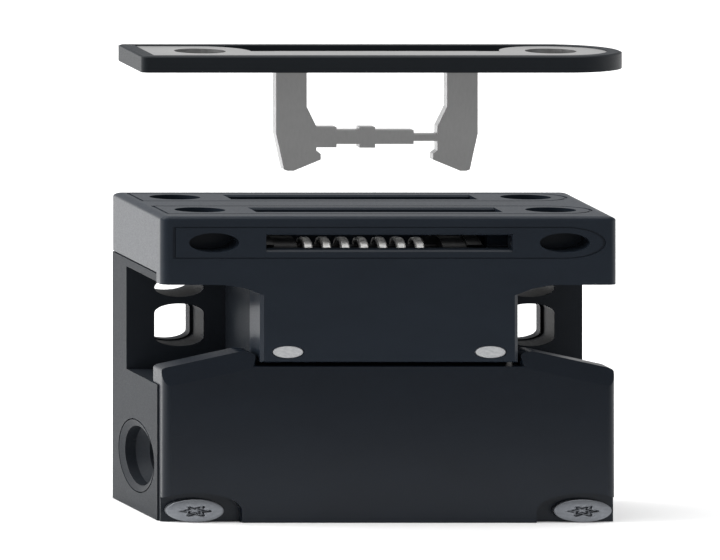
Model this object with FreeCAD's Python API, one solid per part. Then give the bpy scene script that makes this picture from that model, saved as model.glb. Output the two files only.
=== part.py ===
"""Tongue interlock switch: a moulded switch body with a key head, and its separate key.

Millimetres, +Z up, X across the front, Y from the front face (-Y) to the mounting face (+Y).
The origin is the middle of the base. The key is drawn pulled out, above the front slot
of the head, which is where its joint rests.
"""
import FreeCAD
import Part
import math
import os
from FreeCAD import Vector

# ---- switch body ----
BODY_W = 52.0
BODY_D = 30.0
HEAD_H = 17.0
WALL = 2.7
BACK_WALL = 3.0
SHELF_Z = 40.0
FLANGE_T = 9.0
NECK_W = 29.4
DECK_Z = 73.0
DECK_T = 2.7
PARTING_H = 0.45
PARTING_D = 0.4
EDGE_R = 0.8
SMALL_CHAMFER = 0.4
RUN_GAP = 0.05
SLIDE_GAP = 0.3
WIRE_SIDES = 4
RUNS_PER_TURN = 10
HIDDEN_SIDES = 12
# how far a cutter runs past a face, and a fused block runs into its neighbour
PAST = 1.0
BOSS_GAP = 0.1

# ---- mounting holes in the flange ----
HOLE_SPACING = 40.0
FIX_R = 2.8
UPPER_HOLE_Z = 64.0
SLOT_Z = 53.0
SLOT_LEN = 12.5
SLOT_STEP = 0.35
SLOT_STEP_D = 2.4

# ---- cable entries ----
ENTRY_Z = 16.0
THREAD_R = 7.25
THREAD_L = 9.0
MOUTH_R = 8.6
MOUTH_DEPTH = 1.2
RING_R = 10.7
RING_SLOPE = 0.35
RING_GROOVE_W = 0.35
RING_GROOVE_D = 0.5
ENTRY_BOSS_R = 10.6
MEMBRANE = 1.0
PILLAR_SIDE = 1.0
PILLAR_TOP = 1.9

# ---- front cover ----
COVER_T = 2.6
COVER_SIDE_GAP = 0.2
COVER_MID_Z = 45.9
SHOULDER_Z = 45.0
SHOULDER_R = 1.3
PEAK_Z = 51.0
PEAK_R = 1.3
RISER_X = 15.1
LIP_D = 6.0
COVER_EDGE_R = 1.0
BEVEL_H = 4.6
BEVEL_D = 1.3
SPIGOT_D = 1.4
SPIGOT_T = 1.2
SPIGOT_ROOT = 0.2
SEAL_W = 1.2
SEAL_D = 0.8
SEAL_EDGE = 0.7

# ---- cover screws ----
SCREW_X = 22.1
SCREW_Z = 3.4
SCREW_HEAD_R = 3.3
SCREW_HEAD_H = 1.6
SCREW_R = 1.5
SCREW_L = 7.5
SCREW_BORE_L = 8.0
SCREW_POCKET_R = 5.3
RECESS_R = 1.8
RECESS_D = 1.1

# ---- head ----
HEAD_WALL = 3.0
HEAD_EDGE_R = 1.1
WING_DROP = 3.0
WING_X = 19.3
WING_CURVE_X = 1.0
WING_CURVE_Z = 0.2
APRON_Z = 47.2
APRON_CORNER_DROP = 5.7
APRON_CORNER = 1.6
APRON_D = 6.5
KEYWAY_W = 28.1
KEYWAY_T = 4.4
KEYWAY_EDGE = 0.5
FRONT_KEYWAY_DROP = 7.6
TOP_KEYWAY_PITCH = 15.0
POCKET_R = 2.85
TOP_POCKET_D = 8.0
FRONT_POCKET_D = 5.0
PAD_W = 9.4
PAD_END = 24.7
GROOVE_W = 0.35
GROOVE_D = 0.2
HEAD_CORE_X = 16.6
PIN_R = 1.85
PIN_CHAMFER = 0.15
PIN_SINK = 0.1
PIN_X = 11.55
PIN_Z = 50.2
PIN_L = 19.0

# ---- rotor behind the keyways ----
ROTOR_Y = 1.0
ROTOR_RISE = 2.0
WHEEL_R = 9.0
WHEEL_IN = 8.3
WHEEL_T = 2.9
WHEEL_HUB_R = 5.6
NOTCH_FROM = 8.0
NOTCH_TO = 134.0
CAM_HIGH_R = 6.2
PLUNGER_TRAVEL = 2.6
CAM_T = 1.5
CAM_ROOT = 0.2
CAM_STEPS = 8
CAM_DWELL = 12.0
CAM_FLAT_TURN = 50.0
ROTOR_TURN = 80.0
SHAFT_R = 3.0
SHAFT_L = 32.0
ROTOR_ROOM = 0.6
ROTOR_ROOM_X = 13.3
LUG_T = 2.9
LUG_W = 9.0
LUG_RISE = 3.6
LUG_ROOT = 0.5
RIB_INSET = 0.3
RIB_GAP = 0.1
ROTOR_SPRING_OD = 10.0
ROTOR_SPRING_WIRE = 1.35
ROTOR_SPRING_TURNS = 7.25

# ---- plunger and contacts ----
ARM_GAP = 0.15
ARM_T = 1.05
ARM_D = 2.0
YOKE_D = 4.0
YOKE_T = 3.5
YOKE_DROP = 12.7
STEM_R = 2.5
STEM_SLIM_R = 1.4
STEM_END_Z = 14.9
SEAL_R = 5.0
BLOCK_W = 30.0
BLOCK_Z = 9.0
BLOCK_H = 27.0
BLOCK_FRONT = -4.0
BLOCK_BAR = 3.0
BLOCK_WINDOW_X = 10.2
BLOCK_BACK = 2.0
BLADE_T = 0.8
BLADE_D = 4.0
BLADE_IN = 4.9
NC_Z = 27.0
NO_Z = 15.0
RIVET_R = 1.1
RIVET_H = 0.5
RIVET_X = 6.6
BRIDGE_T = 0.7
BRIDGE_HALF = 8.4
BRIDGE_D = 3.6
CONTACT_GAP = 0.15
TAB_W = 4.6
TAB_H = 6.0
TERMINAL_X = 12.6
TERMINAL_SCREW_R = 1.5
TERMINAL_HEAD_R = 2.4
TERMINAL_HEAD_H = 1.6
TERMINAL_SCREW_L = 6.5
TERMINAL_SCREW_END = 0.4
TERMINAL_SLOT_W = 0.6
TERMINAL_SLOT_D = 0.7
TERMINAL_RISE = 0.4
CLAMP_T = 0.6
CLAMP_GAP = 0.4
CLIP_R = 2.5
CLIP_T = 0.5
SPRING_SEAT_D = 2.0
RETURN_SPRING_OD = 4.6
RETURN_SPRING_WIRE = 0.5
RETURN_SPRING_TURNS = 4.5
CONTACT_SPRING_OD = 4.4
CONTACT_SPRING_WIRE = 0.45
CONTACT_SPRING_TURNS = 3.5

# ---- key ----
KEY_TRAVEL = 42.0
KEY_STOP_GAP = 0.2
PLATE_L = 56.0
PLATE_D = 15.0
PLATE_T = 4.8
PLATE_RIM = 1.7
PLATE_HOLE_R = 2.9
SHEET_T = 2.0
SHEET_SINK = 0.25
STRIP_D = 5.6
TRENCH_D = 1.1
TRENCH_END = 1.0
TRENCH_GAP = 0.6
FRAME_CHAMFER = 0.3
BEND_R = 1.2
BEND_LAP = 0.5
TONGUE_L = 30.5
TONGUE_HALF = 11.5
TONGUE_FOOT_HALF = 10.6
TONGUE_SIDE_ROOM = 0.7
TONGUE_BACK_ROOM = 1.15
TONGUE_END_ROOM = 0.5
LEG_IN = 8.0
LEG_FOOT_IN = 6.9
LEG_NECK_Z = 11.6
LEG_FOOT_Z = 17.4
TAPER_Z = 19.5
BAR_TOP_Z = 18.5
BAR_BOTTOM_Z = 22.6
HOOK_NOTCH_Z = 24.5
HOOK_Z = 25.5
HOOK_END_Z = 27.2
HOOK_FOOT_X = 9.5
HOOK_REACH = 0.5
FOOT_CHAMFER = 0.4
# the coded crossbar: where its steps are along X, and how high they are
CODE_1_X = -4.6
CODE_2_X = -2.0
CODE_3_X = -0.2
CODE_4_X = 4.2
TOP_STEP = 0.9
TOP_STEP_RIGHT = 1.2
UNDER_STEP_LEFT = 1.0
UNDER_STEP_MIDDLE = 1.1
UNDER_STEP_RIGHT = 0.9

# ---- worked out from the sizes above ----
BODY_H = DECK_Z + HEAD_H
WING_Z = DECK_Z - WING_DROP
APRON_TOP_Z = DECK_Z - APRON_CORNER_DROP
FRONT_KEYWAY_Z = BODY_H - FRONT_KEYWAY_DROP
ROTOR_Z = DECK_Z + ROTOR_RISE
LUG_TOP_Z = ROTOR_Z + LUG_RISE
YOKE_TOP_Z = ROTOR_Z - YOKE_DROP
HALF_W = BODY_W / 2
FRONT_Y = -BODY_D / 2
REAR_Y = BODY_D / 2
FLANGE_Y = REAR_Y - FLANGE_T
NECK_Y = FRONT_Y + APRON_D
COVER_Y = FRONT_Y + COVER_T
CHAMBER_Y = REAR_Y - BACK_WALL
HOLE_X = HOLE_SPACING / 2
FRONT_KEYWAY_Y = ROTOR_Y - TOP_KEYWAY_PITCH / 2
REAR_KEYWAY_Y = ROTOR_Y + TOP_KEYWAY_PITCH / 2
WHEEL_OUT = WHEEL_IN + WHEEL_T
CAM_LOW_R = CAM_HIGH_R - PLUNGER_TRAVEL
ARM_TOP_Z = ROTOR_Z - CAM_HIGH_R - ARM_GAP
YOKE_Z = YOKE_TOP_Z - YOKE_T
NC_BRIDGE_TOP_Z = NC_Z - BLADE_T / 2 - RIVET_H - PLUNGER_TRAVEL - CONTACT_GAP
NC_BRIDGE_Z = NC_BRIDGE_TOP_Z - RIVET_H - BRIDGE_T
NO_BRIDGE_Z = NO_Z + BLADE_T / 2 + RIVET_H + CONTACT_GAP + RIVET_H
SEAT_Z = BLOCK_Z + BLOCK_BAR - SPRING_SEAT_D
CLIP_Z = NO_BRIDGE_Z - CLIP_T
KEY_Z = BODY_H + KEY_STOP_GAP + KEY_TRAVEL
KEY_TOP_Z = KEY_Z + PLATE_T
TONGUE_Z = KEY_Z - TONGUE_L
PLATE_END_X = PLATE_L / 2
ROUND_X = PLATE_END_X - PLATE_D / 2

X_AXIS = Vector(1, 0, 0)
Y_AXIS = Vector(0, 1, 0)
Z_AXIS = Vector(0, 0, 1)
NEAR = 0.01


# ---- solids ----
def block(x0, x1, y0, y1, z0, z1):
    return Part.makeBox(x1 - x0, y1 - y0, z1 - z0, Vector(x0, y0, z0))


def both(shape):
    """The shape and its mirror image across the middle of the body."""
    return shape.fuse(shape.mirror(Vector(0, 0, 0), X_AXIS))


def pair(shape):
    """The same as two separate solids in one node."""
    return Part.makeCompound([shape, shape.mirror(Vector(0, 0, 0), X_AXIS)])


def rod_x(radius, x0, x1, y, z):
    return Part.makeCylinder(radius, x1 - x0, Vector(x0, y, z), X_AXIS)


def rod_y(radius, y0, y1, x, z):
    return Part.makeCylinder(radius, y1 - y0, Vector(x, y0, z), Y_AXIS)


def rod_z(radius, z0, z1, x, y):
    return Part.makeCylinder(radius, z1 - z0, Vector(x, y, z0), Z_AXIS)


def flats_y(radius, y0, y1, x, z):
    """A bar along Y for small turned pieces out of sight, drawn with flat sides."""
    return prism_y(flat_circle(radius, x, z), y0, y1)


def flats_z(radius, z0, z1, x, y):
    """The same kind of bar along Z."""
    corners = [Vector(a, b, z0) for a, b in flat_circle(radius, x, y)]
    return face_of(corners).extrude(Vector(0, 0, z1 - z0))


def flat_circle(radius, x, y, sides=HIDDEN_SIDES):
    """The corners of an even outline inside a circle."""
    turn = 2 * math.pi / sides
    return [(x + radius * math.cos(turn * (i + 0.5)), y + radius * math.sin(turn * (i + 0.5)))
            for i in range(sides)]


def face_of(points):
    """A flat face inside straight runs through the points."""
    return Part.Face(Part.makePolygon(points + [points[0]]))


def prism_y(outline, y0, y1):
    """An (x, z) outline run from y0 to y1."""
    face = face_of([Vector(x, y0, z) for x, z in outline])
    return face.extrude(Vector(0, y1 - y0, 0))


def prism_x(outline, x0, x1):
    """A (y, z) outline run from x0 to x1."""
    face = face_of([Vector(x0, y, z) for y, z in outline])
    return face.extrude(Vector(x1 - x0, 0, 0))


def edges_where(shape, test):
    """The edges whose middle points pass the test."""
    found = []
    for edge in shape.Edges:
        middle = edge.valueAt((edge.FirstParameter + edge.LastParameter) / 2)
        if test(middle):
            found.append(edge)
    return found


def near(a, b):
    return abs(a - b) < NEAR


def round_upright(shape, radius, test):
    """Rounds the upright edges that pass the test on their middle points."""
    upright = [
        edge for edge in shape.Edges
        if near(edge.BoundBox.XLength, 0) and near(edge.BoundBox.YLength, 0)
        and test(edge.BoundBox.Center)
    ]
    return shape.makeFillet(radius, upright)


def spring_z(outside, wire, turns, z0, z1, x, y):
    """A coil spring standing on z0, its wire drawn with flat sides and short straight runs."""
    radius = (outside - wire) / 2
    stations = round(turns * RUNS_PER_TURN)
    rings = []
    for i in range(stations + 1):
        turn = 2 * math.pi * turns * i / stations
        out = Vector(math.cos(turn), math.sin(turn), 0)
        height = z0 + wire / 2 + (z1 - z0 - wire) * i / stations
        centre = Vector(x, y, height) + out * radius
        rings.append(wire_section(centre, out, wire / 2))
    return Part.makeLoft(rings, True, True)


def wire_section(centre, out, radius):
    corners = []
    for i in range(WIRE_SIDES):
        angle = 2 * math.pi * i / WIRE_SIDES
        corners.append(centre + out * radius * math.cos(angle) + Z_AXIS * radius * math.sin(angle))
    return Part.makePolygon(corners + [corners[0]])


# ---- housing ----
def chamber_outline(grow):
    """The wiring chamber's front outline, grown all round, clear of the two screw pillars."""
    side = HALF_W - WALL + grow
    roof = SHELF_Z - WALL + grow
    floor = WALL - grow
    pillar_x = SCREW_X - SCREW_HEAD_R - PILLAR_SIDE + grow
    pillar_z = SCREW_Z + SCREW_HEAD_R + PILLAR_TOP - grow
    left = [(-pillar_x, floor), (-pillar_x, pillar_z), (-side, pillar_z), (-side, roof)]
    right = [(-x, z) for x, z in reversed(left)]
    return left + right


def entry_mouth():
    """What both kinds of cable entry have: a sloping ring in a fine groove, and the mouth."""
    groove = rod_z(RING_R, -RING_GROOVE_D, PAST, 0, 0)
    groove = groove.cut(rod_z(RING_R - RING_GROOVE_W, -RING_GROOVE_D, PAST, 0, 0))
    slope = Part.makeCone(MOUTH_R, RING_R - RING_GROOVE_W, RING_SLOPE,
                          Vector(0, 0, -RING_SLOPE), Z_AXIS)
    return [groove, slope, rod_z(MOUTH_R, -RING_SLOPE - MOUTH_DEPTH, PAST, 0, 0)]


def entry():
    """The cutter for the open cable entry along +Z, its mouth at the origin, going down."""
    cone_l = MOUTH_R - THREAD_R
    cone_z = -RING_SLOPE - MOUTH_DEPTH - cone_l
    cone = Part.makeCone(THREAD_R, MOUTH_R, cone_l, Vector(0, 0, cone_z), Z_AXIS)
    bore = rod_z(THREAD_R, -THREAD_L - PAST, cone_z, 0, 0)
    return bore.multiFuse([cone] + entry_mouth())


def knock_out():
    """The cutter for a closed entry: the same mouth over a thin disc, and the bore behind it."""
    bore_z = -RING_SLOPE - MOUTH_DEPTH - MEMBRANE
    return flats_z(THREAD_R, -THREAD_L - PAST, bore_z, 0, 0).multiFuse(entry_mouth())


def place_entry(shape, side):
    """Turns an entry or its boss from +Z to the left, right or bottom of the housing."""
    if side == "bottom":
        shape.rotate(Vector(0, 0, 0), X_AXIS, 180)
        return shape
    turn = -90 if side == "left" else 90
    shape.rotate(Vector(0, 0, 0), Y_AXIS, turn)
    shape.translate(Vector(-HALF_W if side == "left" else HALF_W, 0, ENTRY_Z))
    return shape


def rotor_room():
    """The space that the turning wheels sweep, and the way down for the yoke and the stem."""
    sweep = rod_x(WHEEL_R + ROTOR_ROOM, -ROTOR_ROOM_X, ROTOR_ROOM_X, ROTOR_Y, ROTOR_Z)
    yoke_half = YOKE_D / 2 + SLIDE_GAP
    shaft = block(-WHEEL_OUT - CAM_T - SLIDE_GAP, WHEEL_OUT + CAM_T + SLIDE_GAP,
                  ROTOR_Y - yoke_half, ROTOR_Y + yoke_half, YOKE_Z - SLIDE_GAP, ROTOR_Z)
    stem = rod_z(STEM_R + RUN_GAP, SHELF_Z - WALL, YOKE_Z + PLUNGER_TRAVEL + SLIDE_GAP, 0, ROTOR_Y)
    return sweep.multiFuse([shaft, stem])


def tongue_room():
    """The pocket in front of the wheels that the tongue of the key goes down into."""
    half = TONGUE_HALF + TONGUE_SIDE_ROOM
    back = FRONT_KEYWAY_Y + SHEET_T / 2 + TONGUE_BACK_ROOM
    floor_z = TONGUE_Z - KEY_TRAVEL - TONGUE_END_ROOM
    return block(-half, half, NECK_Y - PAST, back, floor_z, DECK_Z + PAST)


def shaft_lug():
    """The right-hand lug on the deck that holds one end of the rotor shaft."""
    return block(ROTOR_ROOM_X, ROTOR_ROOM_X + LUG_T, ROTOR_Y - LUG_W / 2, ROTOR_Y + LUG_W / 2,
                 DECK_Z - LUG_ROOT, LUG_TOP_Z)


def shaft_seat():
    """The slot, round at its foot, that the rotor shaft is dropped into."""
    reach = SHAFT_L / 2 + RUN_GAP
    seat_r = SHAFT_R + RUN_GAP
    mouth = block(-reach, reach, ROTOR_Y - seat_r, ROTOR_Y + seat_r, ROTOR_Z, BODY_H)
    return mouth.fuse(rod_x(seat_r, -reach, reach, ROTOR_Y, ROTOR_Z))


def slot_cut(radius, y0, y1):
    """An upright slot with round ends, through the right-hand side of the flange."""
    half_run = SLOT_LEN / 2 - FIX_R
    bar = block(HOLE_X - radius, HOLE_X + radius, y0, y1, SLOT_Z - half_run, SLOT_Z + half_run)
    return bar.multiFuse([rod_y(radius, y0, y1, HOLE_X, SLOT_Z + side * half_run)
                          for side in (-1, 1)])


def fixing_holes():
    """The right-hand round hole, and the slot, which steps in a little near the wall."""
    slot = slot_cut(FIX_R, FLANGE_Y - PAST, REAR_Y - SLOT_STEP_D)
    narrow = slot_cut(FIX_R - SLOT_STEP, FLANGE_Y, REAR_Y + PAST)
    hole = rod_y(FIX_R, FLANGE_Y - PAST, REAR_Y + PAST, HOLE_X, UPPER_HOLE_Z)
    return slot.multiFuse([narrow, hole])


def parting_line():
    """The shadow line round the top of the deck, under the sides and back of the head."""
    reach = (-BODY_W, BODY_W, FRONT_Y, BODY_D, DECK_Z - PARTING_H, DECK_Z)
    inside = block(-HALF_W + PARTING_D, HALF_W - PARTING_D, FRONT_Y, REAR_Y - PARTING_D,
                   DECK_Z - PARTING_H, DECK_Z)
    return block(*reach).cut(inside)


def housing():
    lower = block(-HALF_W, HALF_W, COVER_Y, REAR_Y, 0, SHELF_Z)
    flange = block(-HALF_W, HALF_W, FLANGE_Y, REAR_Y, 0, DECK_Z)
    lower = round_upright(lower, EDGE_R, lambda p: p.y > 0)
    flange = round_upright(flange, EDGE_R, lambda p: p.y > FLANGE_Y + PAST)
    neck = block(-NECK_W / 2, NECK_W / 2, NECK_Y, REAR_Y - PAST, SHELF_Z - PAST, DECK_Z)
    deck = block(-HALF_W, HALF_W, FRONT_Y + HEAD_WALL, REAR_Y, DECK_Z - DECK_T, DECK_Z)
    deck = round_upright(deck, EDGE_R, lambda p: p.y > 0)
    deck = deck.cut(block(-NECK_W / 2, NECK_W / 2, FRONT_Y, NECK_Y, DECK_Z - DECK_T, DECK_Z))
    shell = lower.multiFuse([flange, neck, deck]).cut(parting_line())
    shell = shell.cut(prism_y(chamber_outline(0), COVER_Y - PAST, CHAMBER_Y))
    bosses = [
        place_entry(flats_z(ENTRY_BOSS_R, -THREAD_L, -WALL / 2, 0, 0), side)
        for side in ("left", "right", "bottom")
    ]
    keep = block(-HALF_W, HALF_W, COVER_Y, REAR_Y - PAST, BOSS_GAP, SHELF_Z)
    shell = shell.multiFuse([boss.common(keep) for boss in bosses] + [both(shaft_lug())])
    shell = shell.cut(place_entry(entry(), "left"))
    for side in ("right", "bottom"):
        shell = shell.cut(place_entry(knock_out(), side))
    screw = flats_y(SCREW_R, COVER_Y - PAST, COVER_Y + SCREW_BORE_L, SCREW_X, SCREW_Z)
    pin = rod_y(PIN_R, NECK_Y - PAST, FRONT_Y + PIN_L, PIN_X, PIN_Z)
    seal = flats_z(SEAL_R, SHELF_Z - WALL - PAST, SHELF_Z, 0, ROTOR_Y)
    return shell.cut([rotor_room(), shaft_seat(), tongue_room(), both(fixing_holes()),
                      both(screw), both(pin), seal, gasket()]).removeSplitter()


def gasket():
    """The seal in the rim of the wiring chamber."""
    inner = prism_y(chamber_outline(SEAL_EDGE), COVER_Y, COVER_Y + SEAL_D)
    outer = prism_y(chamber_outline(SEAL_EDGE + SEAL_W), COVER_Y, COVER_Y + SEAL_D)
    return outer.cut(inner)


# ---- front cover ----
def cover_slab(y0, y1):
    """The cover's outline run from y0 to y1: a sloping shoulder either side of a low middle."""
    side = HALF_W - COVER_SIDE_GAP
    half = [(-side, 0), (-side, SHOULDER_Z), (-RISER_X, PEAK_Z), (-RISER_X, COVER_MID_Z)]
    slab = prism_y(half + [(-x, z) for x, z in reversed(half)], y0, y1)
    for radius, x, z in ((SHOULDER_R, side, SHOULDER_Z), (PEAK_R, RISER_X, PEAK_Z)):
        slab = slab.makeFillet(radius, edges_where(
            slab, lambda p: near(abs(p.x), x) and near(p.z, z)))
    return slab


def shoulder_bevel():
    """The wedge that slants the front of the left shoulder back towards its top edge."""
    side = HALF_W - COVER_SIDE_GAP
    run = Vector(side - RISER_X, 0, PEAK_Z - SHOULDER_Z)
    run.normalize()
    out = Vector(-run.z, 0, run.x)
    start = Vector(-RISER_X, FRONT_Y, PEAK_Z) - run * BODY_W / 2
    slope = BEVEL_D / BEVEL_H
    far = BEVEL_H * 2
    corners = [
        start - out * BEVEL_H,
        start + out * (far - BEVEL_H) + Y_AXIS * slope * far,
        start + out * (far - BEVEL_H) - Y_AXIS,
        start - out * BEVEL_H - Y_AXIS,
    ]
    wedge = face_of(corners).extrude(run * BODY_W)
    return wedge.common(block(-BODY_W, -RISER_X, FRONT_Y - PAST, REAR_Y, 0, BODY_H))


def screw_pocket():
    """The right-hand corner recess that the cover screw's head sits in."""
    floor_y = FRONT_Y + SCREW_HEAD_H
    round_part = rod_y(SCREW_POCKET_R, FRONT_Y - PAST, floor_y, SCREW_X, SCREW_Z)
    foot = block(SCREW_X - SCREW_POCKET_R, HALF_W + PAST, FRONT_Y - PAST, floor_y, -PAST, SCREW_Z)
    return round_part.fuse(foot)


def front_cover():
    slab = cover_slab(FRONT_Y, FRONT_Y + LIP_D)
    slab = slab.makeFillet(COVER_EDGE_R, edges_where(
        slab, lambda p: near(p.y, FRONT_Y) and p.z > PAST and abs(p.x) > RISER_X - NEAR))
    under = block(-HALF_W, HALF_W, COVER_Y, REAR_Y, -PAST, SHELF_Z + COVER_SIDE_GAP / 2)
    cover = slab.cut([under, both(shoulder_bevel())])
    spigot_end = COVER_Y + SPIGOT_D
    spigot = prism_y(chamber_outline(-SLIDE_GAP), COVER_Y - SPIGOT_ROOT, spigot_end)
    hollow = prism_y(chamber_outline(-SLIDE_GAP - SPIGOT_T), COVER_Y - PAST, spigot_end + PAST)
    cover = cover.fuse(spigot.cut(hollow))
    hole = flats_y(SCREW_R + SLIDE_GAP, FRONT_Y - PAST, COVER_Y + PAST, SCREW_X, SCREW_Z)
    return cover.cut([both(screw_pocket()), both(hole)]).removeSplitter()


def driver_recess(x, z, y0, depth):
    """The plain six-sided socket that the driver recess of a cover screw fits round."""
    return prism_y(flat_circle(RECESS_R, x, z, 6), y0, y0 + depth)


def cover_screws():
    head = rod_y(SCREW_HEAD_R, FRONT_Y, FRONT_Y + SCREW_HEAD_H, SCREW_X, SCREW_Z)
    head = head.makeChamfer(SMALL_CHAMFER, edges_where(head, lambda p: near(p.y, FRONT_Y)))
    shank = flats_y(SCREW_R, FRONT_Y + SCREW_HEAD_H / 2, COVER_Y + SCREW_L, SCREW_X, SCREW_Z)
    screw = head.fuse(shank).cut(driver_recess(SCREW_X, SCREW_Z, FRONT_Y, RECESS_D))
    return pair(screw)


# ---- head ----
def pad_outline(grow):
    """The outline round one keyway and its two pockets, with a square left end."""
    half = PAD_W / 2 + grow
    bar = block(-PAD_END - grow, HOLE_X, -half, half, -GROOVE_D, PAST)
    return bar.fuse(rod_z(half, -GROOVE_D, PAST, HOLE_X, 0))


def keyway(depth, pocket_depth):
    """The cutter for a keyway seen from above, its face at z 0, with pockets and border groove."""
    half_w = KEYWAY_W / 2
    half_t = KEYWAY_T / 2
    way = block(-half_w, half_w, -half_t, half_t, -depth, PAST)
    e = KEYWAY_EDGE
    mouth = prism_x([(-half_t, -e), (-half_t - e, 0), (half_t + e, 0), (half_t, -e)],
                    -half_w, half_w)
    pockets = [rod_z(POCKET_R, -pocket_depth, PAST, side * HOLE_X, 0) for side in (-1, 1)]
    groove = pad_outline(0).cut(pad_outline(-GROOVE_W))
    return way.multiFuse([mouth, groove] + pockets)


def front_wall_outline():
    """The head's front seen square on: two wings, and the apron between them."""
    half = NECK_W / 2
    left = [
        (-HALF_W, DECK_Z + PAST), (-HALF_W, WING_Z), (-WING_X, WING_Z),
        (-WING_X + WING_CURVE_X, WING_Z - WING_CURVE_Z),
        (-half - APRON_CORNER, APRON_TOP_Z + APRON_CORNER), (-half, APRON_TOP_Z), (-half, APRON_Z),
    ]
    return left + [(-x, z) for x, z in reversed(left)]


def head_shell():
    """The cap over the rotor, with the wings and the apron that hang down its front."""
    top = block(-HALF_W, HALF_W, FRONT_Y, REAR_Y, DECK_Z, BODY_H)
    top = top.makeFillet(HEAD_EDGE_R, edges_where(top, lambda p: p.z > DECK_Z + PAST))
    wall = prism_y(front_wall_outline(), FRONT_Y, FRONT_Y + HEAD_WALL)
    wall = round_upright(wall, HEAD_EDGE_R, lambda p: near(abs(p.x), HALF_W)
                         and near(p.y, FRONT_Y))
    wall = wall.makeChamfer(SMALL_CHAMFER, edges_where(
        wall, lambda p: near(p.y, FRONT_Y) and p.z < APRON_TOP_Z - NEAR))
    apron = block(-NECK_W / 2, NECK_W / 2, FRONT_Y + HEAD_WALL / 2, FRONT_Y + APRON_D,
                  APRON_Z, DECK_Z + PAST)
    return top.multiFuse([wall, apron])


def head_cap():
    cap = head_shell()
    core = block(-HEAD_CORE_X, HEAD_CORE_X, FRONT_Y + HEAD_WALL, REAR_Y - HEAD_WALL,
                 DECK_Z - PAST, BODY_H - HEAD_WALL)
    rib_r = SHAFT_R - RUN_GAP
    rib = block(ROTOR_ROOM_X + RIB_INSET, ROTOR_ROOM_X + LUG_T - RIB_INSET,
                ROTOR_Y - rib_r, ROTOR_Y + rib_r,
                ROTOR_Z + SHAFT_R + RIB_GAP, BODY_H - HEAD_WALL / 2)
    core = core.cut(block(-NECK_W / 2, NECK_W / 2, FRONT_Y, FRONT_Y + HEAD_WALL, 0, DECK_Z))
    cap = cap.cut(core).fuse(both(rib))
    ways = []
    for y in (FRONT_KEYWAY_Y, REAR_KEYWAY_Y):
        way = keyway(HEAD_WALL + PAST, TOP_POCKET_D)
        way.translate(Vector(0, y, BODY_H))
        ways.append(way)
    way = keyway(HEAD_WALL + PAST, FRONT_POCKET_D)
    way.rotate(Vector(0, 0, 0), X_AXIS, 90)
    way.translate(Vector(0, FRONT_Y, FRONT_KEYWAY_Z))
    ways.append(way)
    pin = rod_y(PIN_R, FRONT_Y - PAST, FRONT_Y + APRON_D + PAST, PIN_X, PIN_Z)
    return cap.cut(ways + [both(pin)]).removeSplitter()


def head_pins():
    front = FRONT_Y + PIN_SINK
    pin = rod_y(PIN_R, front, front + PIN_L - 2 * PIN_SINK, PIN_X, PIN_Z)
    pin = pin.makeChamfer(PIN_CHAMFER, edges_where(pin, lambda p: near(p.y, front)))
    return pair(pin)


# ---- rotor ----
def rotor_shaft():
    return rod_x(SHAFT_R, -SHAFT_L / 2, SHAFT_L / 2, ROTOR_Y, ROTOR_Z)


def at_angle(radius, angle, x):
    """A point about the rotor axis: angle 0 is towards the front, 90 is up."""
    turn = math.radians(angle)
    return Vector(x, ROTOR_Y - radius * math.cos(turn), ROTOR_Z + radius * math.sin(turn))


def notch(x0, x1):
    """The sector between hub and rim that lets a leg of the tongue in."""
    far = WHEEL_R * 2
    middle = (NOTCH_FROM + NOTCH_TO) / 2
    corners = [at_angle(0, 0, x0)]
    corners += [at_angle(far, angle, x0) for angle in (NOTCH_FROM, middle, NOTCH_TO)]
    sector = face_of(corners).extrude(Vector(x1 - x0, 0, 0))
    return sector.cut(rod_x(WHEEL_HUB_R, x0 - PAST, x1 + PAST, ROTOR_Y, ROTOR_Z))


def cam(x0, x1):
    """The disc whose radius falls evenly over the rotor's turn, to let the plunger rise."""
    down = -90
    fall = []
    for i in range(CAM_STEPS + 1):
        share = i / CAM_STEPS
        fall.append(at_angle(CAM_HIGH_R - PLUNGER_TRAVEL * share, down + ROTOR_TURN * share, x0))
    curve = Part.BSplineCurve()
    curve.interpolate(fall)
    low_turn = down + ROTOR_TURN
    high_end = at_angle(CAM_HIGH_R, down - CAM_DWELL, x0)
    high_middle = at_angle(CAM_HIGH_R, down - CAM_DWELL / 2, x0)
    low_end = at_angle(CAM_LOW_R, low_turn + CAM_DWELL, x0)
    low_middle = at_angle(CAM_LOW_R, low_turn + CAM_DWELL / 2, x0)
    back_end = at_angle(CAM_HIGH_R, low_turn + CAM_FLAT_TURN, x0)
    back_middle = at_angle(CAM_HIGH_R, (low_turn + CAM_FLAT_TURN + down - CAM_DWELL + 360) / 2, x0)
    edges = [
        curve.toShape(),
        Part.Arc(fall[-1], low_middle, low_end).toShape(),
        Part.LineSegment(low_end, back_end).toShape(),
        Part.Arc(back_end, back_middle, high_end).toShape(),
        Part.Arc(high_end, high_middle, fall[0]).toShape(),
    ]
    return Part.Face(Part.Wire(edges)).extrude(Vector(x1 - x0, 0, 0))


def cam_wheel():
    """The right-hand notched wheel and the cam on its outer side, in one moulding."""
    wheel = rod_x(WHEEL_R, WHEEL_IN, WHEEL_OUT, ROTOR_Y, ROTOR_Z)
    wheel = wheel.cut(notch(WHEEL_IN, WHEEL_OUT))
    wheel = wheel.fuse(cam(WHEEL_OUT - CAM_ROOT, WHEEL_OUT + CAM_T))
    return wheel.cut(rod_x(SHAFT_R, 0, HALF_W, ROTOR_Y, ROTOR_Z)).removeSplitter()


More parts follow.
